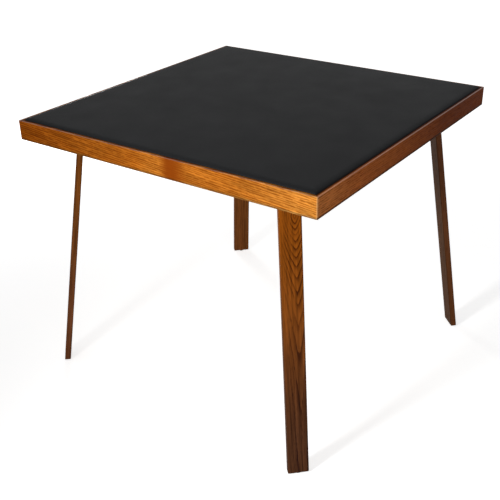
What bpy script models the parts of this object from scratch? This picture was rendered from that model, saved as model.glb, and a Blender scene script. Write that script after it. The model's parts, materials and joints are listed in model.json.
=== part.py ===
"""Square folding card table: a mitred hardwood frame with a padded inset top and four splayed board legs.

Each leg turns on a pin across its own corner and folds inwards along the diagonal, under the top.
Opposite legs lie side by side, and the second pair lies below the first, all inside the frame's depth.
A slotted stay, pivoted on the corner, slides on a stud in the leg's edge and stops the leg when it is open.
Metres, +Z up, standing on z = 0 with the table's centre on the Z axis.
"""

import math

import bmesh
import bpy
from mathutils import Vector

# Table
TABLE_SIDE = 0.864
TABLE_HEIGHT = 0.727  # floor to the top of the wooden lip
RAIL_DEPTH = 0.0495
RAIL_THICKNESS = 0.022
LIP_WIDTH = 0.010  # wood that shows round the padded top
LEDGE_DROP = 0.010  # lip top down to the ledge that carries the panel
RAIL_EASE = 0.0015  # rounding of a rail's long edges
CORNER_EASE = 0.003  # rounding of the frame's upright corners

# Padded top
PANEL_THICKNESS = 0.007
FOAM_THICKNESS = 0.006
COVER_THICKNESS = 0.001
COVER_CORNER = 0.004  # corner radius of the covered panel, seen from above
COVER_ROLL = 0.005  # radius where the cover turns down at the edge
COVER_CROWN = 0.0015  # how much the middle stands above the rolled edge
FLAT_SHARE = 0.5  # share of the top that is level, in the middle

# Legs
LEG_WIDTH = 0.051
LEG_THICKNESS = 0.0165
LEG_EASE = 0.002
LEG_SPLAY = math.radians(9.4)  # outwards along the diagonal, when open
LEG_SETBACK = 0.1086  # frame's inner corner to the leg's outer face, at the rails' lower edge
FOLDED_GAP = 0.00075  # between the panel and each layer of folded legs
SIDE_GAP = 0.00075  # between opposite legs lying side by side
GLIDE_HEIGHT = 0.003
GLIDE_RADIUS = 0.0065
NAIL_RADIUS = 0.0012
NAIL_LENGTH = 0.012

# Hinge and stay
PLATE_THICKNESS = 0.0025
PLATE_HALF_HEIGHT = 0.008
PLATE_PLAY = 0.0005  # between the leg's edge and a plate
PIN_RADIUS = 0.003
PIN_HEAD_RADIUS = 0.005
BUSH_WALL = 0.002
BOLT_RADIUS = 0.002
BOLT_HEAD_RADIUS = 0.0035
BOLT_SETBACK = 0.013  # hinge pin to the first bolt
HEAD_HEIGHT = 0.0025  # pin, bolt, stud and rivet heads
STAY_ARM = 0.034  # hinge pin to the stay's pivot, and to the stud in the leg
STAY_HALF_WIDTH = 0.007
STAY_THICKNESS = 0.0025
STAY_PLAY = 0.0006  # between the pivot plate and the stay
STUD_RADIUS = 0.003
STUD_HEAD_RADIUS = 0.0055
STUD_SHANK_RADIUS = 0.0025
STUD_SHANK_LENGTH = 0.018
WIRE_RADIUS = 0.0008
CATCH_HOOK = 0.0055  # how far the catch spring's hook reaches across the slot
CATCH_WALL = 0.0025  # metal between the slot's end and the catch spring's hole
BLOCK_RISE = 0.002  # corner block's foot above the rails' lower edge
BLOCK_NOSE = 0.008  # blunt tip in the frame's corner
BLOCK_SHOULDER_GAP = 0.004  # end plate to the block's wide part

# Clearances
FIT = 0.0003  # between faces that touch
RUNNING = 0.0002  # round a pin in its hole
SLOT_PLAY = 0.0004  # round the stud in its slot

# Facets of round pieces
ROUND_STEPS = 16
WIRE_STEPS = 1  # bevel resolution of the spring wire
ARC_STEPS = 4
BEVEL_STEPS = 2
EASED_ANGLE = math.radians(40.0)  # sharper edges of a leg are eased
SMOOTH_ANGLE = math.radians(35.0)  # flatter edges of round pieces are shaded smooth
WELD = 1e-6  # points nearer than this become one

CORNERS = {
    "front_right": (math.radians(-45.0), 0),
    "front_left": (math.radians(-135.0), 1),
    "back_left": (math.radians(135.0), 0),
    "back_right": (math.radians(45.0), 1),
}  # direction of the diagonal, and the layer that the folded leg lies in

# Places that follow from the sizes
half_side = TABLE_SIDE / 2
rail_bottom = TABLE_HEIGHT - RAIL_DEPTH
ledge_z = TABLE_HEIGHT - LEDGE_DROP
panel_bottom = ledge_z + FIT
panel_top = panel_bottom + PANEL_THICKNESS
foam_bottom = panel_top + FIT
cover_edge_z = foam_bottom + FOAM_THICKNESS + FIT + COVER_THICKNESS
cover_half = half_side - LIP_WIDTH - FIT
inner_corner = (half_side - RAIL_THICKNESS) * math.sqrt(2)
fold_turn = math.pi / 2 + LEG_SPLAY
leg_offset = -(LEG_WIDTH + SIDE_GAP) / 2
plate_inside = LEG_WIDTH / 2 + PLATE_PLAY
plate_outside = plate_inside + PLATE_THICKNESS
stay_inside = plate_outside + STAY_PLAY
stay_outside = stay_inside + STAY_THICKNESS
bolt_places = (BOLT_SETBACK, (BOLT_SETBACK + STAY_ARM) / 2)
slot_open = 2 * STAY_ARM * math.sin((math.pi / 2 - LEG_SPLAY) / 2)
slot_folded = 2 * STAY_ARM


def pivot_height(layer):
    first = ledge_z - FOLDED_GAP - LEG_THICKNESS / 2
    return first - layer * (LEG_THICKNESS + FOLDED_GAP)


def pivot_reach(layer):
    # Distance of the hinge pin from the table's middle, measured along the diagonal
    outer_face = inner_corner - LEG_SETBACK
    leg_middle = outer_face - LEG_THICKNESS / 2 / math.cos(LEG_SPLAY)
    return leg_middle - (pivot_height(layer) - rail_bottom) * math.tan(LEG_SPLAY)


def remove_everything():
    for item in list(bpy.data.objects):
        bpy.data.objects.remove(item, do_unlink=True)


def make_material(name, colour, roughness, metallic=0.0):
    material = bpy.data.materials.new(name)
    material.use_nodes = True
    shader = material.node_tree.nodes["Principled BSDF"]
    shader.inputs["Base Color"].default_value = (*colour, 1.0)
    shader.inputs["Roughness"].default_value = roughness
    shader.inputs["Metallic"].default_value = metallic
    return material


def place(item, parent):
    bpy.context.scene.collection.objects.link(item)
    item.parent = parent
    return item


def make_empty(name, location, rotation):
    empty = bpy.data.objects.new(name, None)
    bpy.context.scene.collection.objects.link(empty)
    empty.location = location
    empty.rotation_euler = rotation
    return empty


def make_object(name, bm, material, parent=None, smooth=False):
    bmesh.ops.recalc_face_normals(bm, faces=bm.faces)
    mesh = bpy.data.meshes.new(name)
    bm.to_mesh(mesh)
    bm.free()
    if smooth:
        mesh.shade_smooth()
        mesh.set_sharp_from_angle(angle=SMOOTH_ANGLE)
    item = bpy.data.objects.new(name, mesh)
    if material:
        mesh.materials.append(material)
    return place(item, parent)


def cut(item, name, bm, parent=None):
    cutter = make_object(name, bm, None, parent)
    cutter.hide_render = True
    cutter.display_type = "WIRE"
    boolean = item.modifiers.new(name, "BOOLEAN")
    boolean.operation = "DIFFERENCE"
    boolean.solver = "EXACT"
    boolean.object = cutter


def turned(profile, centre=(0, 0), hollow=False):
    # Solid turned about a line along Y: the profile lists (radius, y), and centre is the line's x and z
    bm = bmesh.new()
    rings = [bm.verts.new((radius, y, 0)) for radius, y in profile]
    edges = [bm.edges.new(pair) for pair in zip(rings, rings[1:])]
    if hollow:
        edges.append(bm.edges.new((rings[-1], rings[0])))
    bmesh.ops.spin(
        bm, geom=rings + edges, cent=(0, 0, 0), axis=(0, 1, 0), angle=2 * math.pi, steps=ROUND_STEPS
    )
    bmesh.ops.remove_doubles(bm, verts=bm.verts, dist=WELD)
    bmesh.ops.translate(bm, verts=bm.verts, vec=(centre[0], 0, centre[1]))
    return bm


def rod(radius, low, high):
    return [(0, low), (radius, low), (radius, high), (0, high)]


def slab(outline, low, high):
    # Flat plate: an (x, z) outline drawn out along Y
    bm = bmesh.new()
    face = bm.faces.new([bm.verts.new((x, low, z)) for x, z in outline])
    drawn = bmesh.ops.extrude_face_region(bm, geom=[face])["geom"]
    moved = [item for item in drawn if isinstance(item, bmesh.types.BMVert)]
    bmesh.ops.translate(bm, verts=moved, vec=(0, high - low, 0))
    return bm


def arc(centre, radius, start, end, steps):
    turn = (end - start) / steps
    angles = [start + turn * step for step in range(steps + 1)]
    return [(centre[0] + radius * math.cos(a), centre[1] + radius * math.sin(a)) for a in angles]


def round_ended(start, end, radius):
    # Outline of a bar along X with half-round ends
    steps = ROUND_STEPS // 2
    near = arc((start, 0), radius, math.pi / 2, 3 * math.pi / 2, steps)
    return near + arc((end, 0), radius, -math.pi / 2, math.pi / 2, steps)


def skin(loops):
    # Closed solid through a run of loops with equal point counts, capped at both ends
    bm = bmesh.new()
    rows = [[bm.verts.new(point) for point in loop] for loop in loops]
    for lower, upper in zip(rows, rows[1:]):
        for i in range(len(lower)):
            j = (i + 1) % len(lower)
            bm.faces.new((lower[i], lower[j], upper[j], upper[i]))
    bm.faces.new(rows[0])
    bm.faces.new(rows[-1])
    return bm


def square_loop(half, radius, z):
    points = []
    for quarter in range(4):
        turn = quarter * math.pi / 2
        sign_x = 1 if quarter in (0, 3) else -1
        sign_y = 1 if quarter in (0, 1) else -1
        centre = (sign_x * (half - radius), sign_y * (half - radius))
        points += arc(centre, radius, turn, turn + math.pi / 2, ARC_STEPS)
    return [(x, y, z) for x, y in points]


def top_loops(inset, base):
    # Loops from the covered panel's foot, round its rolled edge and over its crown, moved in by inset
    half = cover_half - inset
    roll = COVER_ROLL - inset
    corner = COVER_CORNER - inset
    edge = cover_edge_z - inset
    loops = [square_loop(half, corner, base)]
    for inward, rise in arc((roll, edge - roll), roll, math.pi, math.pi / 2, ARC_STEPS):
        loops.append(square_loop(half - inward, corner, rise))
    flat = cover_half * FLAT_SHARE
    for step in range(1, ARC_STEPS + 1):
        share = step / ARC_STEPS
        rise = COVER_CROWN * (1 - (1 - share) ** 2)
        loops.append(square_loop(half - roll + (flat - half + roll) * share, corner, edge + rise))
    return loops


def make_top(materials):
    panel_half = cover_half - COVER_THICKNESS - FIT
    corner = COVER_CORNER - COVER_THICKNESS - FIT
    panel = skin([square_loop(panel_half, corner, z) for z in (panel_bottom, panel_top)])
    make_object("top_panel", panel, materials["panel"])

    foam = skin(top_loops(COVER_THICKNESS + FIT, foam_bottom))
    make_object("foam_pad", foam, materials["foam"], smooth=True)

    inside = top_loops(COVER_THICKNESS, panel_bottom)
    outside = top_loops(0, panel_bottom)
    make_object("top_cover", skin(inside[::-1] + outside), materials["cover"], smooth=True)


def rail_section():
    # Section of a rail as (depth behind the outer face, height), with its long edges eased
    ease = RAIL_EASE
    top = TABLE_HEIGHT
    points = arc((ease, rail_bottom + ease), ease, 3 * math.pi / 2, math.pi, ARC_STEPS)
    points += arc((ease, top - ease), ease, math.pi, math.pi / 2, ARC_STEPS)
    points += arc((LIP_WIDTH - ease, top - ease), ease, math.pi / 2, 0, ARC_STEPS)
    points += [(LIP_WIDTH, ledge_z), (RAIL_THICKNESS, ledge_z)]
    points += arc((RAIL_THICKNESS - ease, rail_bottom + ease), ease, 0, -math.pi / 2, ARC_STEPS)
    return points


def make_rails(materials):
    mitre_gap = FIT / math.sqrt(2)
    for name, turn in (("front", 0), ("right", 90), ("back", 180), ("left", 270)):
        ends = []
        for side in (-1, 1):
            loop = []
            for depth, z in rail_section():
                loop.append((side * (half_side - depth - mitre_gap), depth - half_side, z))
            ends.append(loop)
        rail = skin(ends)
        frame_side = make_empty("side_" + name, (0, 0, 0), (0, 0, math.radians(turn)))
        item = make_object("rail_" + name, rail, materials["rail"], frame_side, smooth=True)
        for side in (-1, 1):
            cut(item, f"corner_round_{name}_{side}", corner_round(side), frame_side)


def corner_round(side):
    # Waste outside the rounded upright corner at one end of a rail
    radius = CORNER_EASE
    past = half_side + radius
    centre = (half_side - radius, radius - half_side)
    outline = arc(centre, radius, -math.pi / 2, 0, ARC_STEPS)
    outline += [(past, centre[1]), (past, -past), (centre[0], -past)]
    low = [(side * x, y, rail_bottom - radius) for x, y in outline]
    high = [(side * x, y, TABLE_HEIGHT + radius) for x, y in outline]
    return skin([low, high])


def make_corner_block(corner, hardware, layer, materials):
    # Glued block: its neck fits between the two hinge plates, and its sloping face backs the open leg
    height = pivot_height(layer)
    reach = pivot_reach(layer)
    neck = plate_inside - FIT
    wall = inner_corner - FIT * math.sqrt(2) - reach
    shoulder = bolt_places[1] + PLATE_HALF_HEIGHT + BLOCK_SHOULDER_GAP
    loops = []
    for z in (rail_bottom + BLOCK_RISE - height, ledge_z - height):
        face = (LEG_THICKNESS / 2 + FIT) / math.cos(LEG_SPLAY) - z * math.tan(LEG_SPLAY)
        outline = [
            (face, -neck),
            (wall + leg_offset - neck, -neck),
            (wall - BLOCK_NOSE, -BLOCK_NOSE - leg_offset),
            (wall - BLOCK_NOSE, BLOCK_NOSE - leg_offset),
            (shoulder, wall - shoulder - leg_offset),
            (shoulder, neck),
            (face, neck),
        ]
        loops.append([(x, y, z) for x, y in outline])
    item = make_object("corner_block_" + corner, skin(loops), materials["block"], hardware)
    for i, x in enumerate(bolt_places):
        hole = turned(rod(BOLT_RADIUS + RUNNING, -plate_inside, plate_inside), (x, 0))
        cut(item, f"block_hole_{i}_{corner}", hole, hardware)


def bolt_profile(grow):
    # Bolt from its sunk head, flush with the pivot plate, to the cap outside the end plate
    sunk = BOLT_HEAD_RADIUS - BOLT_RADIUS
    head = -plate_outside + RUNNING - grow
    cap = plate_outside + FIT
    shank = BOLT_RADIUS + grow
    profile = [(0, head), (BOLT_HEAD_RADIUS + grow, head), (shank, head + sunk), (shank, cap)]
    if grow:
        return profile + [(0, cap)]
    cap_end = cap + HEAD_HEIGHT
    return profile + [(BOLT_HEAD_RADIUS, cap), (BOLT_HEAD_RADIUS, cap_end), (0, cap_end)]


def make_plates(corner, hardware, materials):
    steel = materials["steel"]
    pivot = make_object(
        "pivot_plate_" + corner,
        slab(round_ended(0, STAY_ARM, PLATE_HALF_HEIGHT), -plate_outside, -plate_inside),
        steel,
        hardware,
    )
    end = make_object(
        "end_plate_" + corner,
        slab(round_ended(0, bolt_places[1], PLATE_HALF_HEIGHT), plate_inside, plate_outside),
        steel,
        hardware,
    )
    pin_hole = rod(PIN_RADIUS + RUNNING, -plate_outside - FIT, plate_outside + FIT)
    rivet_hole = rod(STUD_RADIUS + RUNNING, -plate_outside - FIT, -plate_inside + FIT)
    for plate in (pivot, end):
        cut(plate, f"pin_hole_{plate.name}", turned(pin_hole), hardware)
        for i, x in enumerate(bolt_places):
            cut(plate, f"bolt_hole_{i}_{plate.name}", turned(bolt_profile(RUNNING), (x, 0)), hardware)
    cut(pivot, "rivet_hole_" + corner, turned(rivet_hole, (STAY_ARM, 0)), hardware)

    for place_name, x in zip(("inner", "outer"), bolt_places):
        name = f"plate_bolt_{place_name}_{corner}"
        make_object(name, turned(bolt_profile(0), (x, 0)), steel, hardware, smooth=True)

    head = plate_outside + FIT
    pin = [(0, RUNNING - plate_outside), (PIN_RADIUS, RUNNING - plate_outside), (PIN_RADIUS, head)]
    pin += [(PIN_HEAD_RADIUS, head), (PIN_HEAD_RADIUS, head + HEAD_HEIGHT), (0, head + HEAD_HEIGHT)]
    make_object("hinge_pin_" + corner, turned(pin), steel, hardware, smooth=True)

    rivet = headed_rod(STUD_RADIUS, -plate_inside - RUNNING)
    make_object("stay_pivot_" + corner, turned(rivet, (STAY_ARM, 0)), steel, hardware, smooth=True)


def headed_rod(radius, start):
    # Pin that runs out through the stay, with a flat head outside it
    head = -stay_outside - FIT
    return [
        (0, start),
        (radius, start),
        (radius, head),
        (STUD_HEAD_RADIUS, head),
        (STUD_HEAD_RADIUS, head - HEAD_HEIGHT),
        (0, head - HEAD_HEIGHT),
    ]


def leg_outline(height):
    # Side of the leg with its axis upright: round top about the pin, foot cut level for the open leg
    radius = LEG_THICKNESS / 2
    drop = height - GLIDE_HEIGHT - FIT
    outline = arc((0, 0), radius, 0, math.pi, ROUND_STEPS // 2)
    for x in (-radius, radius):
        outline.append((x, -(drop + x * math.sin(LEG_SPLAY)) / math.cos(LEG_SPLAY)))
    return outline


def make_leg(corner, fold, upright, layer, materials):
    height = pivot_height(layer)
    half_width = LEG_WIDTH / 2
    board = slab(leg_outline(height), -half_width, half_width)
    leg = make_object("leg_" + corner, board, materials["leg"], fold)
    bevel = leg.modifiers.new("eased_edges", "BEVEL")
    bevel.width = LEG_EASE
    bevel.segments = BEVEL_STEPS
    bevel.limit_method = "ANGLE"
    bevel.angle_limit = EASED_ANGLE

    bore = PIN_RADIUS + RUNNING
    bush_radius = bore + BUSH_WALL
    past = half_width + PLATE_PLAY
    cut(leg, "bush_hole_" + corner, turned(rod(bush_radius + RUNNING, -past, past)), fold)
    low = RUNNING - half_width
    bush = [(bore, low), (bush_radius, low), (bush_radius, -low), (bore, -low)]
    make_object("leg_bush_" + corner, turned(bush, hollow=True), materials["bush"], fold, smooth=True)

    make_stud(corner, leg, fold, materials)
    make_glide(corner, leg, upright, height, materials)


def make_stud(corner, leg, fold, materials):
    edge = -LEG_WIDTH / 2
    collar = edge - FIT
    inner_end = edge + STUD_SHANK_LENGTH
    profile = [(0, inner_end), (STUD_SHANK_RADIUS, inner_end), (STUD_SHANK_RADIUS, collar)]
    profile += [(STUD_HEAD_RADIUS, collar), (STUD_HEAD_RADIUS, FIT - stay_inside)]
    profile += headed_rod(STUD_RADIUS, FIT - stay_inside)[1:]
    centre = (0, -STAY_ARM)
    make_object("stay_stud_" + corner, turned(profile, centre), materials["steel"], fold, smooth=True)
    hole = rod(STUD_SHANK_RADIUS + RUNNING, edge - PLATE_PLAY, inner_end + RUNNING)
    cut(leg, "stud_hole_" + corner, turned(hole, centre), fold)


def upright_turned(profile, x, z):
    # The same as turned, about an upright line through (x, z)
    bm = turned(profile)
    for vert in bm.verts:
        vert.co = Vector((vert.co.x + x, -vert.co.z, vert.co.y + z))
    return bm


def make_glide(corner, leg, upright, height, materials):
    # Domed foot glide with its nail, under the middle of the level foot
    x = (height - GLIDE_HEIGHT - FIT) * math.tan(LEG_SPLAY)
    floor = -height
    nail_end = GLIDE_HEIGHT + NAIL_LENGTH
    rim = GLIDE_RADIUS - GLIDE_HEIGHT / 2
    profile = [(0, 0), (rim, 0), (GLIDE_RADIUS, GLIDE_HEIGHT / 2), (GLIDE_RADIUS, GLIDE_HEIGHT)]
    profile += [(NAIL_RADIUS, GLIDE_HEIGHT), (NAIL_RADIUS, nail_end), (0, nail_end)]
    glide = upright_turned(profile, x, floor)
    make_object("glide_" + corner, glide, materials["glide"], upright, smooth=True)
    hole = upright_turned(rod(NAIL_RADIUS + RUNNING, GLIDE_HEIGHT / 2, nail_end + RUNNING), x, floor)
    cut(leg, "nail_hole_" + corner, hole, upright)


def make_stay(corner, stay_axis, materials):
    # Slotted bar, drawn as it lies when folded, running inwards from its pivot
    slot_half = STUD_RADIUS + SLOT_PLAY
    wire_hole = WIRE_RADIUS + RUNNING
    anchor_x = -(slot_folded + slot_half + CATCH_WALL + wire_hole)
    outline = round_ended(anchor_x, 0, STAY_HALF_WIDTH)
    bar = slab(outline, -stay_outside, -stay_inside)
    stay = make_object("stay_" + corner, bar, materials["steel"], stay_axis)
    past = STAY_PLAY / 2
    pivot_hole = rod(STUD_RADIUS + RUNNING, -stay_outside - past, past - stay_inside)
    cut(stay, "stay_hole_" + corner, turned(pivot_hole), stay_axis)
    slot = round_ended(-slot_folded, -slot_open, slot_half)
    cut(stay, "stay_slot_" + corner, slab(slot, -stay_outside - past, past - stay_inside), stay_axis)

    anchor_hole = rod(wire_hole, -stay_outside - past, past - stay_inside)
    cut(stay, "catch_hole_" + corner, turned(anchor_hole, (anchor_x, 0)), stay_axis)
    make_catch_spring(corner, stay_axis, anchor_x, materials)


def make_catch_spring(corner, stay_axis, anchor_x, materials):
    # Sprung wire: anchored in the stay's tail, along the slot, then hooked behind the open leg's stud
    plane = -stay_outside - FIT - WIRE_RADIUS
    lane = STUD_HEAD_RADIUS + FIT + WIRE_RADIUS
    hook_x = -slot_open - STUD_HEAD_RADIUS - FIT - WIRE_RADIUS
    bend = 2 * WIRE_RADIUS
    run = arc((anchor_x + bend, lane - bend), bend, math.pi, math.pi / 2, ARC_STEPS)
    run += arc((hook_x - bend, lane - bend), bend, math.pi / 2, 0, ARC_STEPS)
    points = [(anchor_x, -stay_inside - RUNNING, 0), (anchor_x, plane + WIRE_RADIUS, 0)]
    points += [(anchor_x, plane, bend)]
    points += [(x, plane, z) for x, z in run]
    points += [(hook_x, plane, lane - CATCH_HOOK)]
    curve = bpy.data.curves.new("catch_spring_" + corner, "CURVE")
    curve.dimensions = "3D"
    curve.bevel_depth = WIRE_RADIUS
    curve.bevel_resolution = WIRE_STEPS
    curve.use_fill_caps = True
    spline = curve.splines.new("POLY")
    spline.points.add(len(points) - 1)
    for point, place_at in zip(spline.points, points):
        point.co = (*place_at, 1)
    curve.materials.append(materials["spring"])
    place(bpy.data.objects.new("catch_spring_" + corner, curve), stay_axis)


def make_corner(corner, turn, layer, materials):
    along = Vector((math.cos(turn), math.sin(turn), 0))
    across = Vector((-math.sin(turn), math.cos(turn), 0))
    pivot = along * pivot_reach(layer) + across * leg_offset
    pivot.z = pivot_height(layer)
    hardware = make_empty("hinge_" + corner, pivot, (0, 0, turn))
    fold = make_empty("fold_" + corner, pivot, (0, -LEG_SPLAY, turn))
    stay_axis = make_empty("stay_axis_" + corner, pivot + along * STAY_ARM, (0, -fold_turn / 2, turn))
    make_corner_block(corner, hardware, layer, materials)
    make_plates(corner, hardware, materials)
    make_leg(corner, fold, hardware, layer, materials)
    make_stay(corner, stay_axis, materials)


def main():
    remove_everything()
    materials = {
        "rail": make_material("rail_oak", (0.47, 0.17, 0.035), 0.42),
        "leg": make_material("leg_oak", (0.26, 0.10, 0.03), 0.45),
        "block": make_material("block_wood", (0.50, 0.33, 0.17), 0.65),
        "panel": make_material("plywood", (0.55, 0.38, 0.20), 0.7),
        "foam": make_material("foam", (0.30, 0.30, 0.28), 0.9),
        "cover": make_material("black_vinyl", (0.028, 0.028, 0.03), 0.55),
        "steel": make_material("zinc_steel", (0.55, 0.55, 0.56), 0.38, 1.0),
        "spring": make_material("spring_wire", (0.32, 0.32, 0.34), 0.35, 1.0),
        "bush": make_material("nylon_bush", (0.75, 0.74, 0.70), 0.5),
        "glide": make_material("glide_plastic", (0.03, 0.025, 0.02), 0.5),
    }
    make_rails(materials)
    make_top(materials)
    for corner, (turn, layer) in CORNERS.items():
        make_corner(corner, turn, layer, materials)
    bpy.context.view_layer.update()


main()
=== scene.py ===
import json
import math

import bmesh
import bpy
from mathutils import Euler, Matrix, Vector


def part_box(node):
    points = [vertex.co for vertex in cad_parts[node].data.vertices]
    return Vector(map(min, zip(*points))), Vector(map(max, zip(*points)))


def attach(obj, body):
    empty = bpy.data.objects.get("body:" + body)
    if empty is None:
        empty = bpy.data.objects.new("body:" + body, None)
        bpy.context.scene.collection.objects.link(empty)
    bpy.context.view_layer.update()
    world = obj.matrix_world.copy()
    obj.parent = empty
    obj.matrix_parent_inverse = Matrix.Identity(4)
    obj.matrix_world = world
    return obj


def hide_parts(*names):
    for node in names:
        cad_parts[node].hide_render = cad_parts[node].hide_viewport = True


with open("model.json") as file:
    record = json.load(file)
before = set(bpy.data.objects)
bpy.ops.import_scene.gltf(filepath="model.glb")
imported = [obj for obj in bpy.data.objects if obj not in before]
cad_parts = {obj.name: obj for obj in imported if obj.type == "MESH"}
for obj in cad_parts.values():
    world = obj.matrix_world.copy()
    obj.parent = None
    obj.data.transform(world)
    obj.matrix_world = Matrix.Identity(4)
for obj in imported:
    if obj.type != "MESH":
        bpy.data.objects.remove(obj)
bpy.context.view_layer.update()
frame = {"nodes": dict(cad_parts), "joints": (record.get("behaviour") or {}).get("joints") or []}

print("frame loaded:", len(frame["nodes"]), "nodes")


# node tree helpers

def give(tree, socket, value):
    if isinstance(value, bpy.types.NodeSocket):
        tree.links.new(value, socket)
    else:
        socket.default_value = value


def put(tree, kind, values=None, **settings):
    node = tree.nodes.new(kind)
    for name, value in settings.items():
        setattr(node, name, value)
    for name, value in (values or {}).items():
        give(tree, node.inputs[name], value)
    return node


def calc(tree, operation, *values, clamp=False):
    node = put(tree, "ShaderNodeMath", operation=operation, use_clamp=clamp)
    for socket, value in zip(node.inputs, values):
        give(tree, socket, value)
    return node.outputs[0]


def vectorCalc(tree, operation, *values):
    node = put(tree, "ShaderNodeVectorMath", operation=operation)
    for socket, value in zip(node.inputs, values):
        give(tree, socket, value)
    return node.outputs


def scaled(tree, vector, scale):
    return vectorCalc(tree, "MULTIPLY", vector, scale)["Vector"]


def step(tree, value, low, high):
    values = {"Value": value, "From Min": low, "From Max": high}
    return put(tree, "ShaderNodeMapRange", values, interpolation_type="SMOOTHSTEP").outputs[0]


def blendColour(tree, factor, first, second, mode="MIX"):
    node = put(tree, "ShaderNodeMix", data_type="RGBA", blend_type=mode)
    give(tree, node.inputs[0], factor)
    give(tree, node.inputs[6], first)
    give(tree, node.inputs[7], second)
    return node.outputs[2]


def tinted(tree, factor, colour, tint):
    return blendColour(tree, factor, colour, (*tint, 1), "MULTIPLY")


def split(tree, vector):
    return put(tree, "ShaderNodeSeparateXYZ", {"Vector": vector}).outputs


def join(tree, x, y, z):
    return put(tree, "ShaderNodeCombineXYZ", {"X": x, "Y": y, "Z": z}).outputs[0]


def noise(tree, vector, seed, detail):
    values = {"Vector": vector, "W": seed, "Scale": 1.0, "Detail": detail, "Roughness": 0.5}
    return put(tree, "ShaderNodeTexNoise", values, noise_dimensions="4D").outputs


def objectPlace(tree):
    return put(tree, "ShaderNodeTexCoord").outputs["Object"]


def boardPlace(tree, board):
    # object coordinates turned into the board's own: x along the grain, y across it, z out of its face
    values = {"Vector": objectPlace(tree), "Location": board["centre"], "Rotation": board["turn"]}
    return put(tree, "ShaderNodeMapping", values, vector_type="TEXTURE").outputs[0]


def newGroup(name, inputs, outputs):
    tree = bpy.data.node_groups.new(name, "ShaderNodeTree")
    for label, kind in inputs.items():
        tree.interface.new_socket(label, in_out="INPUT", socket_type="NodeSocket" + kind)
    for label, kind in outputs.items():
        tree.interface.new_socket(label, in_out="OUTPUT", socket_type="NodeSocket" + kind)
    given = tree.nodes.new("NodeGroupInput").outputs
    out = tree.nodes.new("NodeGroupOutput").inputs
    return tree, given, out


def useGroup(tree, group, values):
    node = tree.nodes.new("ShaderNodeGroup")
    node.node_tree = group
    for name, value in values.items():
        give(tree, node.inputs[name], value)
    return node.outputs


def newMaterial(name):
    material = bpy.data.materials.new(name)
    material.use_nodes = True
    tree = material.node_tree
    shader = tree.nodes["Principled BSDF"]
    return material, tree, shader


def bump(tree, shader, height, distance):
    node = put(tree, "ShaderNodeBump", {"Height": height, "Distance": distance, "Strength": 1.0})
    tree.links.new(node.outputs[0], shader.inputs["Normal"])


def dress(node, material):
    slots = frame["nodes"][node].data.materials
    slots.clear()
    slots.append(material)


def addToScene(name, data):
    item = bpy.data.objects.new(name, data)
    bpy.context.scene.collection.objects.link(item)
    return item


# shared effects

noiseMiddle = 0.5  # what a noise texture comes to on average
oakGrain = {
    "waveScale": (3.0, 9.0, 9.0),  # slow waves that bend the rings
    "waveSwing": 4.0,
    "waveTone": 0.35,
    "jitterScale": (24.0, 90.0, 90.0),  # small waves, in shares of a ring
    "jitter": 0.5,
    "unevenScale": 0.37,  # how quickly wide rings change to narrow ones
    "uneven": 0.7,
    "ringRise": 0.15,  # the share of a ring in which its dark line begins
    "weakestRing": 0.8,
    "ringSpread": 1.0,
    "reachFade": 0.5,  # where the rings begin to fade, as a share of their reach
    "reachLoss": 0.85,
    "poreScale": (60.0, 760.0, 760.0),
    "poreRange": (0.52, 0.66),
    "poresBetween": 0.3,  # the share of pores outside the dark lines
    "dashRange": (0.36, 0.6),
    "weakestDash": 0.4,
    "dashSpread": 1.1,
    "poreRoughness": 0.25,
    "streakRoughness": 0.1,
    "ringDip": 0.35,
}


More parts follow.
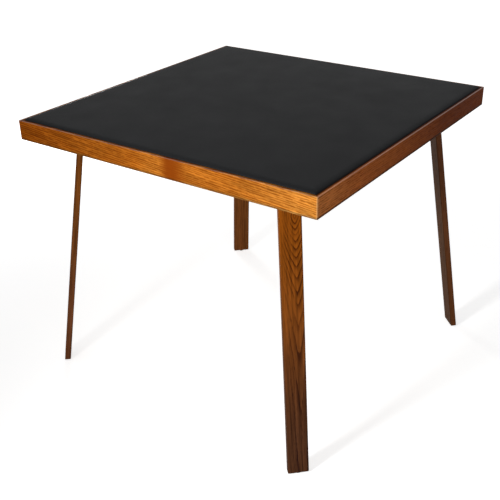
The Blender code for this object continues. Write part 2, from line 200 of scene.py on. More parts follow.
def makeOakFigure():
    # growth rings about a pith line that leans through the board, with open pores and soft streaks
    tree, given, out = newGroup(
        "oakFigure",
        {
            "Vector": "Vector",
            "Early Wood": "Color",
            "Late Wood": "Color",
            "Pore": "Color",
            "Pith Side": "Float",
            "Pith Depth": "Float",
            "Lean": "Float",
            "Tilt": "Float",
            "Tilt Reach": "Float",
            "Point": "Float",
            "Ring Spacing": "Float",
            "Wobble": "Float",
            "Ring Contrast": "Float",
            "Ring Sharpness": "Float",
            "Ring Reach": "Float",
            "Streak": "Float",
            "Streak Scale": "Vector",
            "Dash Scale": "Vector",
            "Pore Amount": "Float",
            "Base Roughness": "Float",
            "Seed": "Float",
        },
        {"Color": "Color", "Roughness": "Float", "Height": "Float"},
    )
    place = given["Vector"]
    seed = given["Seed"]
    point = given["Point"]
    reach = given["Tilt Reach"]
    along, across, deep = split(tree, place)

    # the distance from the pith line, which bends off where the tilt runs out
    wave = noise(tree, scaled(tree, place, oakGrain["waveScale"]), seed, detail=3.0)["Color"]
    wave = vectorCalc(tree, "SUBTRACT", wave, (noiseMiddle, noiseMiddle, noiseMiddle))["Vector"]
    waveSide, waveDeep, waveTone = split(tree, wave)
    swing = calc(tree, "MULTIPLY", given["Wobble"], oakGrain["waveSwing"])
    fall = calc(tree, "DIVIDE", along, calc(tree, "MULTIPLY", reach, -1.0))
    run = calc(tree, "SUBTRACT", 1.0, calc(tree, "EXPONENT", fall))
    run = calc(tree, "MULTIPLY", run, reach)
    leant = calc(tree, "MULTIPLY_ADD", run, given["Lean"], across)
    side = calc(tree, "SUBTRACT", leant, given["Pith Side"])
    side = calc(tree, "MULTIPLY_ADD", waveSide, swing, side)
    depth = calc(tree, "ADD", deep, given["Pith Depth"])
    depth = calc(tree, "MULTIPLY_ADD", run, given["Tilt"], depth)
    depth = calc(tree, "MULTIPLY_ADD", waveDeep, swing, depth)
    sidePart = calc(tree, "POWER", calc(tree, "ABSOLUTE", side), point)
    depthPart = calc(tree, "POWER", calc(tree, "ABSOLUTE", depth), point)
    root = calc(tree, "DIVIDE", 1.0, point)
    radius = calc(tree, "POWER", calc(tree, "ADD", sidePart, depthPart), root)

    # rings of uneven width and strength
    ring = calc(tree, "DIVIDE", radius, given["Ring Spacing"])
    values = {"W": ring, "Scale": oakGrain["unevenScale"]}
    uneven = put(tree, "ShaderNodeTexNoise", values, noise_dimensions="1D").outputs[0]
    ring = calc(tree, "MULTIPLY_ADD", uneven, oakGrain["uneven"], ring)
    jitter = noise(tree, scaled(tree, place, oakGrain["jitterScale"]), seed, detail=2.0)[0]
    ring = calc(tree, "MULTIPLY_ADD", jitter, oakGrain["jitter"], ring)
    saw = calc(tree, "FRACT", ring)
    dark = calc(tree, "POWER", calc(tree, "SUBTRACT", 1.0, saw), given["Ring Sharpness"])
    dark = calc(tree, "MULTIPLY", dark, step(tree, saw, 0.0, oakGrain["ringRise"]))
    values = {"W": calc(tree, "FLOOR", ring)}
    pick = put(tree, "ShaderNodeTexWhiteNoise", values, noise_dimensions="1D").outputs[0]
    strength = calc(tree, "MULTIPLY_ADD", pick, oakGrain["ringSpread"], oakGrain["weakestRing"])
    dark = calc(tree, "MULTIPLY", dark, strength)
    off = calc(tree, "DIVIDE", calc(tree, "ABSOLUTE", side), given["Ring Reach"])
    off = step(tree, off, oakGrain["reachFade"], 1.0)
    kept = calc(tree, "MULTIPLY_ADD", off, -oakGrain["reachLoss"], 1.0)
    dark = calc(tree, "MULTIPLY", dark, kept)

    # streaks, pores and dashes lie along the leaning fibre
    fibre = join(tree, along, leant, deep)
    streaks = noise(tree, scaled(tree, fibre, given["Streak Scale"]), seed, detail=4.0)[0]
    fine = noise(tree, scaled(tree, fibre, oakGrain["poreScale"]), seed, detail=2.0)[0]
    pores = step(tree, fine, *oakGrain["poreRange"])
    between = oakGrain["poresBetween"]
    inBand = calc(tree, "MULTIPLY_ADD", dark, 1.0 - between, between)
    pores = calc(tree, "MULTIPLY", calc(tree, "MULTIPLY", pores, inBand), given["Pore Amount"])
    dashes = noise(tree, scaled(tree, fibre, given["Dash Scale"]), seed, detail=2.0)[0]
    dashes = step(tree, dashes, *oakGrain["dashRange"])
    dashes = calc(tree, "MULTIPLY_ADD", dashes, oakGrain["dashSpread"], oakGrain["weakestDash"])

    ringTone = calc(tree, "MULTIPLY", dark, given["Ring Contrast"])
    ringTone = calc(tree, "MULTIPLY", ringTone, dashes, clamp=True)
    colour = blendColour(tree, ringTone, given["Early Wood"], given["Late Wood"])
    shade = calc(tree, "SUBTRACT", streaks, noiseMiddle)
    shade = calc(tree, "MULTIPLY_ADD", shade, given["Streak"], 1.0)
    shade = calc(tree, "MULTIPLY_ADD", waveTone, oakGrain["waveTone"], shade)
    colour = blendColour(tree, 1.0, colour, join(tree, shade, shade, shade), "MULTIPLY")
    tree.links.new(blendColour(tree, pores, colour, given["Pore"]), out["Color"])

    rough = calc(tree, "MULTIPLY_ADD", pores, oakGrain["poreRoughness"], given["Base Roughness"])
    rough = calc(tree, "MULTIPLY_ADD", streaks, oakGrain["streakRoughness"], rough)
    tree.links.new(rough, out["Roughness"])
    height = calc(tree, "MULTIPLY", pores, -1.0)
    height = calc(tree, "MULTIPLY_ADD", dark, -oakGrain["ringDip"], height)
    tree.links.new(height, out["Height"])
    return tree


def makeBoardEdge():
    # 1 along the arrises of a board of the given half size, 0 on its faces
    tree, given, out = newGroup(
        "boardEdge",
        {"Vector": "Vector", "Half Size": "Vector", "Width": "Float"},
        {"Mask": "Float"},
    )
    reach = vectorCalc(tree, "ABSOLUTE", given["Vector"])["Vector"]
    reach = vectorCalc(tree, "SUBTRACT", reach, given["Half Size"])["Vector"]
    along, across, deep = split(tree, reach)
    # the middle one of the three comes near 0 only where two faces meet
    inner = calc(tree, "MINIMUM", calc(tree, "MAXIMUM", along, across), deep)
    middle = calc(tree, "MAXIMUM", calc(tree, "MINIMUM", along, across), inner)
    start = calc(tree, "MULTIPLY", given["Width"], -1.0)
    tree.links.new(step(tree, middle, start, 0.0), out["Mask"])
    return tree


def makeMottle():
    # soft uneven patches with a fine tooth, for moulded and plated surfaces
    tree, given, out = newGroup(
        "mottle",
        {"Vector": "Vector", "Patch Scale": "Vector", "Tooth Scale": "Vector", "Seed": "Float"},
        {"Patches": "Float", "Tooth": "Float"},
    )
    for label, scale, detail in (("Patches", "Patch Scale", 4.0), ("Tooth", "Tooth Scale", 2.0)):
        place = scaled(tree, given["Vector"], given[scale])
        tree.links.new(noise(tree, place, given["Seed"], detail)[0], out[label])
    return tree


oakFigure = makeOakFigure()
boardEdge = makeBoardEdge()
mottle = makeMottle()
print("shared effects made")


# boards

def boardFrame(centre, along, across, halfSize):
    axes = Matrix((along, across, along.cross(across))).transposed()
    return {"centre": centre, "turn": axes.to_euler(), "halfSize": halfSize}


def boxFrame(node, along, across):
    low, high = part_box(node)
    size = (high - low) / 2
    deep = along.cross(across)
    halfSize = [sum(abs(axis[i]) * size[i] for i in range(3)) for axis in (along, across, deep)]
    return boardFrame((low + high) / 2, along, across, halfSize)


def toned(colour, toneAndShade):
    return (*(part * share for part, share in zip(colour, toneAndShade)), 1)


def rim(tree, place, half, inset, fade):
    # 1 from the board's outside to the inset, and then fading
    return step(tree, place, half - inset - fade, half - inset)


def addToneAndShadeDrift(tree, colour, along, drift):
    # mostly painted falloff of light: the colour shifts from the start place to the end place
    way = 1 if drift["end"] > drift["start"] else -1
    far = step(tree, calc(tree, "MULTIPLY", along, way), drift["start"] * way, drift["end"] * way)
    return tinted(tree, far, colour, drift["tint"])


def addSpot(tree, colour, along, spot):
    entering = step(tree, along, *spot["entry"])
    leaving = calc(tree, "SUBTRACT", 1.0, step(tree, along, *spot["exit"]))
    mask = calc(tree, "MULTIPLY", calc(tree, "MULTIPLY", entering, leaving), spot["shade"])
    return blendColour(tree, mask, colour, spot["colour"])


def addLipShadeAndCoat(tree, shader, colour, place, board, look):
    # the lip darkens towards the cover in a painted shadow of the cover, and is polished along its
    # outer edge
    across, deep = split(tree, place)[1:]
    width, depth = board["halfSize"][1:]
    lip = rim(tree, across, width, look["lipDepth"] / 2, look["lipDepth"] / 2)
    outer = rim(tree, deep, depth, look["lipEdge"], look["lipFade"])
    inner = calc(tree, "MULTIPLY", lip, calc(tree, "SUBTRACT", 1.0, outer))
    shine = rim(tree, deep, depth, look["polishEdge"], look["polishFade"])
    polish = calc(tree, "MULTIPLY", calc(tree, "MULTIPLY", lip, shine), look["lipCoat"])
    tree.links.new(polish, shader.inputs["Coat Weight"])
    shader.inputs["Coat Roughness"].default_value = look["roughness"]
    # painted shadow of the cover over the inner part of the lip
    return tinted(tree, inner, colour, look["lip"])


def addFootShade(tree, colour, place, board, look):
    # a narrow band along the lower edge of the outer face, darkened as painted shade
    across, deep = split(tree, place)[1:]
    width, depth = board["halfSize"][1:]
    below = calc(tree, "MULTIPLY", across, -1.0)
    low = rim(tree, below, width, look["footDepth"], look["footFade"])
    outside = rim(tree, deep, depth, look["footDepth"], look["footFade"])
    return tinted(tree, calc(tree, "MULTIPLY", low, outside), colour, look["foot"])


def makeBoard(name, board, look):
    material, tree, shader = newMaterial(name)
    place = boardPlace(tree, board)
    along, across = split(tree, place)[:2]
    length, width, depth = board["halfSize"]
    # this colour shift is partly the board's own colour and partly painted light and shade, as lit and
    # shaded copies of the same oak
    toneAndShade = look.get("toneAndShade", (1, 1, 1))
    share = look.get("rings", 1.0)
    rings = look["ringContrast"] * share
    if "edgeRings" in look:
        wide = calc(tree, "ABSOLUTE", across)
        narrow = rim(tree, wide, width, look["edgeInset"], look["edgeFade"])
        rings = calc(tree, "MULTIPLY_ADD", narrow, rings * (look["edgeRings"] - 1), rings)
    grain = useGroup(tree, oakFigure, {
        "Vector": place,
        "Early Wood": toned(look["earlyWood"], toneAndShade),
        "Late Wood": toned(look["lateWood"], toneAndShade),
        "Pore": toned(look["pore"], toneAndShade),
        "Pith Side": look["pithSide"],
        "Pith Depth": look["pithDepth"],
        "Lean": look["lean"],
        "Tilt": look["tilt"],
        "Tilt Reach": look["tiltReach"],
        "Point": look["point"],
        "Ring Spacing": look["ringSpacing"],
        "Wobble": look["wobble"],
        "Ring Contrast": rings,
        "Ring Sharpness": look["ringSharpness"],
        "Ring Reach": look["ringReach"],
        "Streak": look["streak"] * share,
        "Streak Scale": look["streakScale"],
        "Dash Scale": look["dashScale"],
        "Pore Amount": look["poreAmount"],
        "Base Roughness": look["roughness"],
        "Seed": look["seed"],
    })
    colour = grain["Color"]
    # painted light and shade on the legs' narrow edge faces
    if "edge" in look:
        colour = tinted(tree, narrow, colour, look["edge"])
    # painted falloff of light and shade along the board, with some of the wood's own colour change
    for drift in look.get("toneAndShadeDrifts", ()):
        colour = addToneAndShadeDrift(tree, colour, along, drift)
    if "spot" in look:
        colour = addSpot(tree, colour, along, look["spot"])
    # the arrises take the arris colour: a painted highlight with some wear on the rails, painted shade
    # lines on the legs, a lighter worn edge on the blocks
    tintShare = useGroup(tree, boardEdge, {
        "Vector": place,
        "Half Size": (length, width + look["arrisRelief"], depth),
        "Width": look["arrisWidth"],
    })["Mask"]
    tintShare = calc(tree, "MULTIPLY", tintShare, look["arrisAmount"])
    colour = blendColour(tree, tintShare, colour, look["arrisWearAndLight"])
    if "lip" in look:
        colour = addLipShadeAndCoat(tree, shader, colour, place, board, look)
    # painted shade along the lower edge of the outer face
    if "foot" in look:
        colour = addFootShade(tree, colour, place, board, look)
    tree.links.new(colour, shader.inputs["Base Color"])
    tree.links.new(grain["Roughness"], shader.inputs["Roughness"])
    shader.inputs["Specular IOR Level"].default_value = look["specular"]
    bump(tree, shader, grain["Height"], look["bump"])
    return material


# what the four rails share
railLook = {
    "earlyWood": (0.74, 0.29, 0.046, 1),
    "lateWood": (0.40, 0.122, 0.012, 1),
    "pore": (0.24, 0.058, 0.005, 1),
    "arrisWearAndLight": (0.80, 0.42, 0.16, 1),
    "arrisWidth": 0.0034,
    "arrisAmount": 0.6,
    "arrisRelief": 0.003,  # keeps the long edges plainer than the corners, where the painted highlight shows
    "ringSpacing": 0.0048,
    "wobble": 0.0012,
    "ringContrast": 1.15,
    "ringSharpness": 1.3,
    "ringReach": 10.0,  # far past the board, so the rings don't fade
    "tiltReach": 50.0,  # far past the board, so the pith line is straight
    "point": 2.0,  # 2 gives round rings, less gives pointed ones
    "streak": 1.3,
    "streakScale": (18, 140, 140),
    "dashScale": (75, 220, 220),
    "poreAmount": 0.8,
    "roughness": 0.34,
    "bump": 0.0002,
    "specular": 0.006,
    "lipDepth": 0.0012,  # what counts as the lip, down from the rail's top
    "lipEdge": 0.002,  # where the painted shadow of the cover stops, in from the outer face
    "lipFade": 0.006,
    "polishEdge": 0.0026,
    "polishFade": 0.001,
    "lipCoat": 0.8,
    "footDepth": 0.0046,  # up from the lower edge, for the painted shade there
    "footFade": 0.0012,
}
# each rail's own cut and colour; a drift changes the colour from one place along the board to another,
# and mostly paints the falloff of light, darker towards the front rail's left end and the right rail's
# far end; the lip and foot tints paint shade beside the cover and along the lower edge
rails = {
    "front": {
        "way": (1, 0, 0),
        "pithSide": -0.16,
        "pithDepth": 0.05,
        "lean": 0.06,
        "tilt": 0.02,
        "seed": 2.0,
        "lip": (0.52, 0.50, 0.30),
        "foot": (0.64, 0.82, 1.4),
        "toneAndShadeDrifts": [
            {"start": 0.45, "end": 0.20, "tint": (0.70, 0.58, 0.39)},
            {"start": 0.05, "end": 0.03, "tint": (1.12, 1.18, 1.28)},
            {"start": 0.02, "end": -0.07, "tint": (0.80, 0.70, 0.52)},
            {"start": -0.12, "end": -0.46, "tint": (0.92, 0.79, 0.56)},
        ],
        "spot": {  # one darker place near the middle
            "entry": (0.017, 0.050),
            "exit": (0.060, 0.115),
            "shade": 0.96,
            "colour": (0.235, 0.046, 0.0028, 1),
        },
    },
    "right": {
        "way": (0, 1, 0),
        "pithSide": 0.14,
        "pithDepth": 0.06,
        "lean": 0.02,
        "tilt": 0.01,
        "seed": 5.0,
        "rings": 0.45,
        # painted shade colour: the same oak as the front rail, as it looks in shade
        "toneAndShade": (1.0, 0.86, 1.4),
        # nearly black: painted shadow of the cover on this rail's lip
        "lip": (0.10, 0.08, 0.06),
        "foot": (0.30, 0.33, 0.45),
        "toneAndShadeDrifts": [
            # painted shade: this rail darkens towards its far end
            {"start": -0.43, "end": -0.26, "tint": (0.75, 0.63, 0.55)},
            {"start": -0.34, "end": 0.26, "tint": (0.345, 0.235, 0.040)},
        ],
    },
    "back": {
        "way": (-1, 0, 0),
        "pithSide": -0.12,
        "pithDepth": 0.05,
        "lean": 0.07,
        "tilt": 0.02,
        "seed": 8.0,
        "toneAndShade": (1, 0.92, 0.85),
        "lip": (0.36, 0.32, 0.22),
        "foot": (0.64, 0.70, 0.9),
        "toneAndShadeDrifts": [{"start": -0.30, "end": 0.40, "tint": (0.75, 0.68, 0.60)}],
    },
    "left": {
        "way": (0, -1, 0),
        "pithSide": 0.17,
        "pithDepth": 0.05,
        "lean": -0.06,
        "tilt": 0.02,
        "seed": 11.0,
        "toneAndShade": (1, 0.95, 0.9),
        "lip": (0.36, 0.32, 0.22),
        "foot": (0.64, 0.70, 0.9),
        "toneAndShadeDrifts": [{"start": 0.40, "end": -0.20, "tint": (0.80, 0.72, 0.62)}],
    },
}

up = Vector((0, 0, 1))
for side, rail in rails.items():
    board = boxFrame("rail_" + side, Vector(rail["way"]), up)
    dress("rail_" + side, makeBoard("railOak_" + side, board, {**railLook, **rail}))

# what the four legs share
legLook = {
    "width": 0.051,
    "thickness": 0.0165,
    "earlyWood": (0.295, 0.077, 0.0052, 1),
    "lateWood": (0.10, 0.023, 0.002, 1),
    "pore": (0.045, 0.012, 0.002, 1),
    # dark edge lines: painted shade along the legs' arrises
    "arrisWearAndLight": (0.05, 0.018, 0.006, 1),
    "arrisWidth": 0.0024,
    "arrisAmount": 0.6,
    "arrisRelief": 0.0,
    "ringSpacing": 0.0052,
    "wobble": 0.0018,
    "ringContrast": 0.85,
    "ringSharpness": 2.6,
    "ringReach": 0.034,
    "tiltReach": 0.15,
    "point": 1.4,
    "edgeRings": 0.25,  # the narrow edges cut the rings almost straight
    "edgeInset": 0.0002,
    "edgeFade": 0.0006,
    "streak": 2.2,
    "streakScale": (8, 300, 300),
    "dashScale": (9, 70, 70),
    "poreAmount": 0.8,
    "roughness": 0.38,
    "bump": 0.0002,
    "specular": 0.014,
}
# each leg's own cut and colour, from the hinge down; the colour shifts and edge tints paint each leg's
# light and shade on the same oak, and each drift paints the falloff of light towards the foot
legs = {
    "front_right": {
        "pithSide": 0.008,
        "pithDepth": -0.0625,
        "lean": -0.02,
        "tilt": 0.85,
        "seed": 3.0,
        # painted shade: narrow edges darker
        "edge": (0.70, 0.77, 1.1),
        "toneAndShadeDrifts": [{"start": 0.06, "end": 0.67, "tint": (0.32, 0.46, 2.9)}],
    },
    "front_left": {
        "pithSide": -0.05,
        "pithDepth": 0.03,
        "lean": 0.03,
        "tilt": 0.10,
        "seed": 7.0,
        "toneAndShade": (0.65, 0.79, 2.0),
        "toneAndShadeDrifts": [{"start": 0.10, "end": 0.66, "tint": (0.98, 1.06, 2.4)}],
    },
    "back_left": {
        "pithSide": 0.06,
        "pithDepth": 0.02,
        "lean": -0.03,
        "tilt": 0.15,
        "seed": 12.0,
        "toneAndShade": (0.88, 1.1, 3.0),
        "toneAndShadeDrifts": [{"start": 0.10, "end": 0.66, "tint": (0.80, 0.80, 1.1)}],
    },
    "back_right": {
        "pithSide": -0.004,
        "pithDepth": -0.03,
        "lean": 0.03,
        "tilt": 0.8,
        "seed": 17.0,
        "rings": 0.5,
        "toneAndShade": (0.28, 0.40, 1.3),
        # painted light: narrow edges lighter and greyer
        "edge": (1.7, 1.68, 3.2),
        "toneAndShadeDrifts": [{"start": 0.10, "end": 0.66, "tint": (0.97, 0.88, 0.7)}],
    },
}
blockLook = {
    "earlyWood": (0.58, 0.40, 0.22, 1),
    "lateWood": (0.43, 0.26, 0.12, 1),
    "pore": (0.28, 0.16, 0.07, 1),
    "arrisWearAndLight": (0.64, 0.48, 0.30, 1),
    "arrisWidth": 0.002,
    "arrisAmount": 0.4,
    "arrisRelief": 0.0,
    "pithSide": -0.03,
    "pithDepth": 0.05,
    "lean": 0.04,
    "tilt": 0.03,
    "ringSpacing": 0.0035,
    "wobble": 0.0025,
    "ringContrast": 0.7,
    "ringSharpness": 2.4,
    "ringReach": 10.0,
    "tiltReach": 50.0,
    "point": 2.0,
    "streak": 1.4,
    "streakScale": (13, 360, 360),
    "dashScale": (30, 200, 200),
    "poreAmount": 0.35,
    "roughness": 0.6,
    "bump": 0.0002,
    "specular": 0.25,
    "seedStep": 30,  # from the seed of the leg at the same corner
}


def legFrame(hinge):
    # the leg's board starts at its hinge and runs down and outwards along the splay
    axis = Vector(hinge["axis"])
    pivot = Vector(hinge["pos_m"])
    splay = math.radians(hinge["range_deg"][1] - 90)  # it folds through a right angle and its splay
    down = (axis.cross(up) * math.sin(splay) - up * math.cos(splay)).normalized()
    halfSize = (pivot.z / math.cos(splay), legLook["width"] / 2, legLook["thickness"] / 2)
    return boardFrame(pivot, down, axis, halfSize)


hinges = {joint["child"]: joint for joint in frame["joints"]}
for corner, leg in legs.items():
    hinge = hinges["leg_" + corner]
    legBoard = legFrame(hinge)
    dress("leg_" + corner, makeBoard("legOak_" + corner, legBoard, {**legLook, **leg}))
    block = boxFrame("corner_block_" + corner, Vector(hinge["axis"]), up)
    blockOwn = {**blockLook, "seed": leg["seed"] + blockLook["seedStep"]}
    dress("corner_block_" + corner, makeBoard("blockWood_" + corner, block, blockOwn))

panelLook = {
    "earlyWood": (0.60, 0.41, 0.23, 1),
    "lateWood": (0.46, 0.28, 0.13, 1),
    "pore": (0.33, 0.20, 0.09, 1),
    "arrisWearAndLight": (0.60, 0.41, 0.23, 1),
    "arrisWidth": 0.001,
    "arrisAmount": 0.2,
    "arrisRelief": 0.0,
    "pithSide": 0.0,
    "pithDepth": 0.012,
    "lean": 0.02,
    "tilt": 0.01,
    "seed": 41.0,
    "ringSpacing": 0.0022,
    "wobble": 0.012,
    "ringContrast": 0.65,
    "ringSharpness": 2.4,
    "ringReach": 10.0,
    "tiltReach": 50.0,
    "point": 2.0,
    "streak": 1.2,
    "streakScale": (13, 360, 360),
    "dashScale": (30, 200, 200),
    "poreAmount": 0.3,
    "roughness": 0.62,
    "bump": 0.00015,
    "specular": 0.25,
}
panelBoard = boxFrame("top_panel", Vector((1, 0, 0)), Vector((0, 1, 0)))
dress("top_panel", makeBoard("plywood", panelBoard, panelLook))
print("boards dressed")


# hardware

zincLook = {
    "on": ("pivot_plate_", "end_plate_", "plate_bolt_", "hinge_pin_", "stay_"),
    "light": (0.62, 0.61, 0.58, 1),
    "dark": (0.40, 0.40, 0.41, 1),
    "metal": 1.0,
    "roughness": (0.26, 0.46),
    "patches": (60, 60, 60),
    "tooth": (1500, 1500, 160),
    "bump": 0.00004,
    "specular": 0.5,
    "seed": 50.0,
}
springLook = {
    "on": ("catch_spring_",),
    "light": (0.36, 0.36, 0.38, 1),
    "dark": (0.22, 0.21, 0.21, 1),
    "metal": 1.0,
    "roughness": (0.22, 0.40),
    "patches": (140, 140, 140),
    "tooth": (2200, 2200, 2200),
    "bump": 0.00003,
    "specular": 0.5,
    "seed": 51.0,
}
bushLook = {
    "on": ("leg_bush_",),
    "light": (0.76, 0.75, 0.70, 1),
    "dark": (0.62, 0.60, 0.54, 1),
    "metal": 0.0,
    "roughness": (0.40, 0.58),
    "patches": (90, 90, 90),
    "tooth": (1800, 1800, 1800),
    "bump": 0.00004,
    "specular": 0.4,
    "seed": 52.0,
}
glideLook = {
    "on": ("glide_",),
    "light": (0.045, 0.038, 0.032, 1),
    "dark": (0.018, 0.015, 0.013, 1),
    "metal": 0.0,
    "roughness": (0.42, 0.66),
    "patches": (160, 160, 160),
    "tooth": (2000, 2000, 2000),
    "bump": 0.00006,
    "specular": 0.4,
    "seed": 53.0,
}
wornRange = (0.35, 0.65)  # where the dark patches change to the light ones
toothShare = 0.5  # of the roughness, against the patches


def makeFinish(name, look):
    material, tree, shader = newMaterial(name)
    surface = useGroup(tree, mottle, {
        "Vector": objectPlace(tree),
        "Patch Scale": look["patches"],
        "Tooth Scale": look["tooth"],
        "Seed": look["seed"],
    })
    tintShare = step(tree, surface["Patches"], *wornRange)
    tree.links.new(blendColour(tree, tintShare, look["dark"], look["light"]), shader.inputs["Base Color"])
    low, high = look["roughness"]
    rough = calc(tree, "MULTIPLY", surface["Patches"], 1.0 - toothShare)
    rough = calc(tree, "MULTIPLY_ADD", surface["Tooth"], toothShare, rough)
    rough = calc(tree, "MULTIPLY_ADD", rough, high - low, low)
    tree.links.new(rough, shader.inputs["Roughness"])
    shader.inputs["Metallic"].default_value = look["metal"]
    shader.inputs["Specular IOR Level"].default_value = look["specular"]
    bump(tree, shader, surface["Tooth"], look["bump"])
    return material


finishes = {
    "zincSteel": zincLook,
    "springWire": springLook,
    "nylonBush": bushLook,
    "glidePlastic": glideLook,
}
for name, look in finishes.items():
    finish = makeFinish(name, look)
    for node in frame["nodes"]:
        if node.startswith(look["on"]):
            dress(node, finish)
print("hardware dressed")


# padded top

padTop = {
    "wall": 0.001,  # the cover's thickness, seen only at its lower edge
    "roll": 0.005,
    "rollReach": 0.016,
    "corner": 0.004,
    "crown": 0.0015,
    "flatShare": 0.5,
    "pull": 0.00022,  # how far the tacked edge draws in and out
    "pullLength": 0.047,
    "pullSlant": 1.03,  # keeps neighbouring sides out of step
    "pullRatio": 1.73,  # a second, weaker wave makes the tacks uneven
    "pullShift": 1.1,
    "pullSecond": 0.5,
    "pullShare": 0.75,  # how far round the roll the pull lasts, in half waves
    "sharpAngle": 50.0,
    "arcSteps": 8,
    "sideSteps": 72,
    "crownSteps": 14,
}


def padLoop(half, corner, z):
    # rounded square with points all along its sides
    points = []
    straight = half - corner
    for quarter in range(4):
        turn = Matrix.Rotation(quarter * math.pi / 2, 3, "Z")
        for i in range(padTop["sideSteps"]):
            y = -straight + 2 * straight * i / padTop["sideSteps"]
            points.append(turn @ Vector((half, y, z)))
        for i in range(padTop["arcSteps"]):
            angle = math.pi / 2 * i / padTop["arcSteps"]
            x = straight + corner * math.cos(angle)
            y = straight + corner * math.sin(angle)
            points.append(turn @ Vector((x, y, z)))
    return points


def tacked(point, share):
    # the edge is drawn in a little at each tack underneath
    phase = (point.x + point.y * padTop["pullSlant"]) / padTop["pullLength"] * 2 * math.pi
    second = math.sin(phase * padTop["pullRatio"] + padTop["pullShift"])
    wave = math.sin(phase) + padTop["pullSecond"] * second
    outward = Vector((point.x, point.y, 0)).normalized()
    return point - outward * padTop["pull"] * wave * share


def padLoops():
    # from the foot of the foam, round the cover's lower edge and its roll, to the flat middle
    low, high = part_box("top_cover")
    half = high.x
    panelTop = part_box("top_panel")[1].z
    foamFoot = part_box("foam_pad")[0].z
    edge = high.z - padTop["crown"]
    reach = padTop["rollReach"]
    corner = padTop["corner"]
    inside = half - padTop["wall"]
    innerCorner = corner - padTop["wall"]
    loops = [
        padLoop(inside, innerCorner, foamFoot),
        padLoop(inside, innerCorner, low.z),
        padLoop(half, corner, low.z),
        padLoop(half, corner, panelTop),
    ]
    for i in range(padTop["arcSteps"] + 1):
        share = i / padTop["arcSteps"]
        angle = math.pi / 2 * share
        inset = reach * (1 - math.cos(angle))
        drop = padTop["roll"] * (1 - math.sin(angle))
        pull = math.sin(math.pi * share * padTop["pullShare"])
        loops.append([tacked(point, pull) for point in padLoop(half - inset, corner, edge - drop)])
    rolled = half - reach
    flat = half * padTop["flatShare"]
    for i in range(1, padTop["crownSteps"] + 1):
        share = i / padTop["crownSteps"]
        rise = padTop["crown"] * (1 - (1 - share) ** 2)
        loops.append(padLoop(rolled + (flat - rolled) * share, corner, edge + rise))
    return loops


def makePad():
    bm = bmesh.new()
    rows = [[bm.verts.new(point) for point in loop] for loop in padLoops()]
    for lower, upper in zip(rows, rows[1:]):
        for i in range(len(lower)):
            j = (i + 1) % len(lower)
            bm.faces.new((lower[i], lower[j], upper[j], upper[i]))
    bm.faces.new(rows[0])
    bm.faces.new(rows[-1])
    bmesh.ops.recalc_face_normals(bm, faces=bm.faces)
    mesh = bpy.data.meshes.new("paddedTop")
    bm.to_mesh(mesh)
    bm.free()
    mesh.shade_smooth()
    mesh.set_sharp_from_angle(angle=math.radians(padTop["sharpAngle"]))
    return addToScene("paddedTop", mesh)


vinylLook = {
    "dark": (0.0125, 0.0131, 0.0143, 1),
    "light": (0.0170, 0.0173, 0.0182, 1),
    "pebble": 900.0,
    "roughness": (0.46, 0.62),
    "bump": 0.00012,
    "toothHeight": 0.4,  # against the pebbles
    "specular": 0.033,
    "patches": (14, 14, 14),
    "tooth": (420, 420, 420),
    "seed": 70.0,
}


def makeVinyl():
    material, tree, shader = newMaterial("blackVinyl")
    place = objectPlace(tree)
    surface = useGroup(tree, mottle, {
        "Vector": place,
        "Patch Scale": vinylLook["patches"],
        "Tooth Scale": vinylLook["tooth"],
        "Seed": vinylLook["seed"],
    })
    colour = blendColour(tree, surface["Patches"], vinylLook["dark"], vinylLook["light"])
    tree.links.new(colour, shader.inputs["Base Color"])
    low, high = vinylLook["roughness"]
    rough = calc(tree, "MULTIPLY_ADD", surface["Patches"], high - low, low)
    tree.links.new(rough, shader.inputs["Roughness"])
    shader.inputs["Specular IOR Level"].default_value = vinylLook["specular"]
    values = {"Vector": place, "Scale": vinylLook["pebble"]}
    cells = put(tree, "ShaderNodeTexVoronoi", values, feature="SMOOTH_F1").outputs["Distance"]
    height = calc(tree, "MULTIPLY", cells, -1.0)
    height = calc(tree, "MULTIPLY_ADD", surface["Tooth"], vinylLook["toothHeight"], height)
    bump(tree, shader, height, vinylLook["bump"])
    return material


pad = makePad()
pad.data.materials.append(makeVinyl())
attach(pad, "tabletop")
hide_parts("top_cover", "foam_pad")
print("padded top made:", len(pad.data.polygons), "faces")


# studio

def seenDirectly(tree):
    path = put(tree, "ShaderNodeLightPath").outputs
    seen = calc(tree, "MAXIMUM", path["Is Camera Ray"], path["Is Glossy Ray"])
    return calc(tree, "MAXIMUM", seen, path["Is Transmission Ray"])


floorLook = {
    "size": 40.0,
    "drop": 0.0004,
    "colour": (0.82, 0.82, 0.81, 1),
    "glowNear": 0.72,  # what the camera sees on top of the floor's own shade
    "glowFar": 1.0,
    "glowReach": (0.9, 2.6),
}


def makeFloor():
    mesh = bpy.data.meshes.new("floor")
    bm = bmesh.new()
    bmesh.ops.create_grid(bm, x_segments=1, y_segments=1, size=floorLook["size"] / 2)
    bm.to_mesh(mesh)
    bm.free()
    floor = addToScene("floor", mesh)
    floor.location.z = -floorLook["drop"]
    material, tree, shader = newMaterial("paleFloor")
    tree.nodes.remove(shader)
    away = vectorCalc(tree, "LENGTH", objectPlace(tree))["Value"]
    fade = step(tree, away, *floorLook["glowReach"])
    near = floorLook["glowNear"]
    glow = calc(tree, "MULTIPLY_ADD", fade, floorLook["glowFar"] - near, near)
    glow = calc(tree, "MULTIPLY", glow, seenDirectly(tree))
    light = put(tree, "ShaderNodeEmission", {"Strength": glow})
    matt = put(tree, "ShaderNodeBsdfDiffuse", {"Color": floorLook["colour"]})
    both = put(tree, "ShaderNodeAddShader", {0: light.outputs[0], 1: matt.outputs[0]})
    tree.links.new(both.outputs[0], tree.nodes["Material Output"].inputs["Surface"])
    mesh.materials.append(material)


worldLook = {
    "seen": (1, 1, 1, 1),
    "ambient": (0.27, 0.275, 0.285, 1),
    "shade": (0.07, 0.071, 0.075, 1),  # from the back and the right, where nothing is lit
    "shadeWay": (0.6, 0.8, 0.0),
    "shadeRange": (-0.5, 0.5),
}


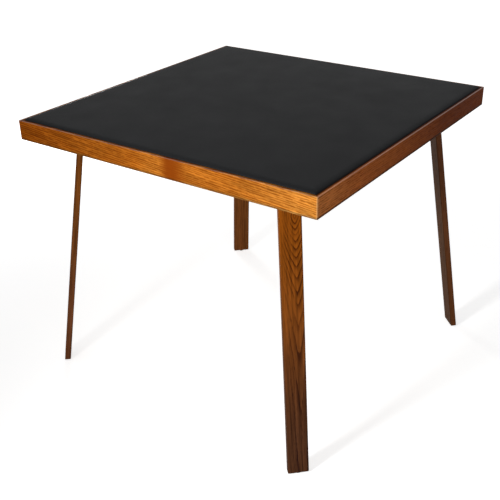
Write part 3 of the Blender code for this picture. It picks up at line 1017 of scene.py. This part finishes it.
def makeWorld():
    world = bpy.data.worlds.new("studioWorld")
    bpy.context.scene.world = world
    world.use_nodes = True
    tree = world.node_tree
    way = put(tree, "ShaderNodeTexCoord").outputs["Generated"]
    turned = vectorCalc(tree, "DOT_PRODUCT", way, worldLook["shadeWay"])["Value"]
    turned = step(tree, turned, *worldLook["shadeRange"])
    ambient = blendColour(tree, turned, worldLook["ambient"], worldLook["shade"])
    colour = blendColour(tree, seenDirectly(tree), ambient, worldLook["seen"])
    tree.links.new(colour, tree.nodes["Background"].inputs["Color"])


keyLamp = {
    "place": (-0.10, -1.80, 1.15),
    "aim": (0.75, -0.40, 0.62),
    "size": 0.16,
    "cone": 104.0,
    "blend": 1.0,
    "power": 93.0,
}
fillLamp = {
    "place": (2.0, -2.0, 0.75),
    "aim": (0.0, 0.0, 0.3),
    "spread": 40.0,
    "power": 0.75,
}
backLamp = {
    "place": (-2.0, 1.3, 0.45),
    "aim": (0.0, 0.0, 0.5),
    "size": 0.5,
    "power": 16.0,
}


def addLamp(name, kind, look):
    lamp = bpy.data.lights.new(name, kind)
    lamp.energy = look["power"]
    item = addToScene(name, lamp)
    item.location = look["place"]
    way = Vector(look["aim"]) - Vector(look["place"])
    item.rotation_euler = way.to_track_quat("-Z", "Y").to_euler()
    return lamp


def makeLamps():
    key = addLamp("keyLamp", "SPOT", keyLamp)
    key.spot_size = math.radians(keyLamp["cone"])
    key.spot_blend = keyLamp["blend"]
    key.shadow_soft_size = keyLamp["size"]
    fill = addLamp("fillLamp", "SUN", fillLamp)
    fill.angle = math.radians(fillLamp["spread"])
    back = addLamp("backLamp", "AREA", backLamp)
    back.shape = "DISK"
    back.size = backLamp["size"]


cameraSet = {
    "place": (1.19834, -1.72749, 1.40182),
    "turn": (62.3073, 1.0831, 35.1499),
    "focus": 842.63,  # in pixels of the image
    "image": 500,
    "sensor": 36.0,
}


def makeCamera():
    lens = bpy.data.cameras.new("camera")
    lens.sensor_width = cameraSet["sensor"]
    lens.lens = cameraSet["focus"] * cameraSet["sensor"] / cameraSet["image"]
    item = addToScene("camera", lens)
    item.location = cameraSet["place"]
    item.rotation_euler = Euler([math.radians(angle) for angle in cameraSet["turn"]])
    bpy.context.scene.camera = item


makeFloor()
makeWorld()
makeLamps()
makeCamera()
bpy.context.scene.view_settings.view_transform = "Standard"
print("studio ready")
